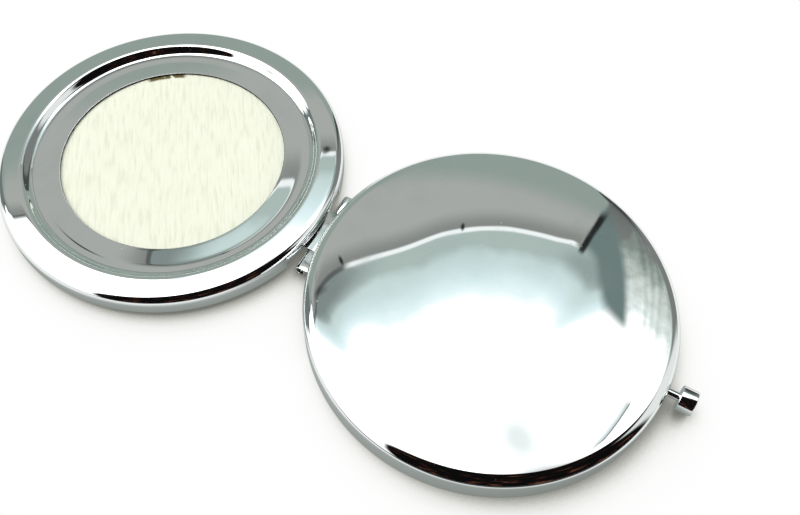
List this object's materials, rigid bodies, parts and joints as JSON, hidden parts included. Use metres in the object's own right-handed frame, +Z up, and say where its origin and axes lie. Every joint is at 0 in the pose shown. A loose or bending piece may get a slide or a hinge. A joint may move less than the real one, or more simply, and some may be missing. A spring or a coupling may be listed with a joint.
{
  "type": "compact mirror",
  "caption": "Round chrome compact mirror laid open face down: recessed lid with a round card window, plain domed base, pinned hinge and a sprung push button.",
  "frame": {"origin": "centre of the open object's bounding box, on the table it lies on", "axes": "+X from the lid to the button, +Y along the hinge pin, +Z up from the table"},
  "size_m": [0.1474, 0.07, 0.0088],
  "materials": {
    "case_chrome": "polished",
    "frame_chrome": "polished",
    "hinge_chrome": "polished",
    "button_chrome": "polished",
    "pin_steel": "satin",
    "latch_steel": "satin",
    "rivet_steel": "satin",
    "mirror_glass": "polished",
    "ivory_card": "matte",
    "backing_board": "matte"
  },
  "bodies": {
    "base": {"base_shell": "case_chrome", "base_backing": "backing_board", "base_mirror": "mirror_glass", "base_frame": "frame_chrome", "base_hinge_leaf": "hinge_chrome", "hinge_pin": "pin_steel", "latch_bracket": "latch_steel", "latch_spring": "latch_steel", "base_rivets": "rivet_steel"},
    "lid": {"lid_shell": "case_chrome", "lid_card": "ivory_card", "lid_mirror": "mirror_glass", "lid_frame": "frame_chrome", "lid_hinge_leaf": "hinge_chrome", "lid_catch": "latch_steel", "lid_rivets": "rivet_steel"},
    "button": {"button_head": "button_chrome", "button_stem": "button_chrome", "latch_slide": "latch_steel", "stem_clip": "latch_steel"}
  },
  "joints": [
    {"name": "lid_hinge", "type": "hinge", "parent": "base", "child": "lid", "pos_m": [-0.00262, 0, 0.00119], "axis": [0, -1, 0], "range_deg": [-1, 179]},
    {"name": "button_press", "type": "slide", "parent": "base", "child": "button", "axis": [-0.9998, 0, 0.0174], "range_m": [0, 0.0015], "stiffness_N_per_m": 300, "springref_m": -0.002, "deforming": ["latch_spring"]}
  ]
}
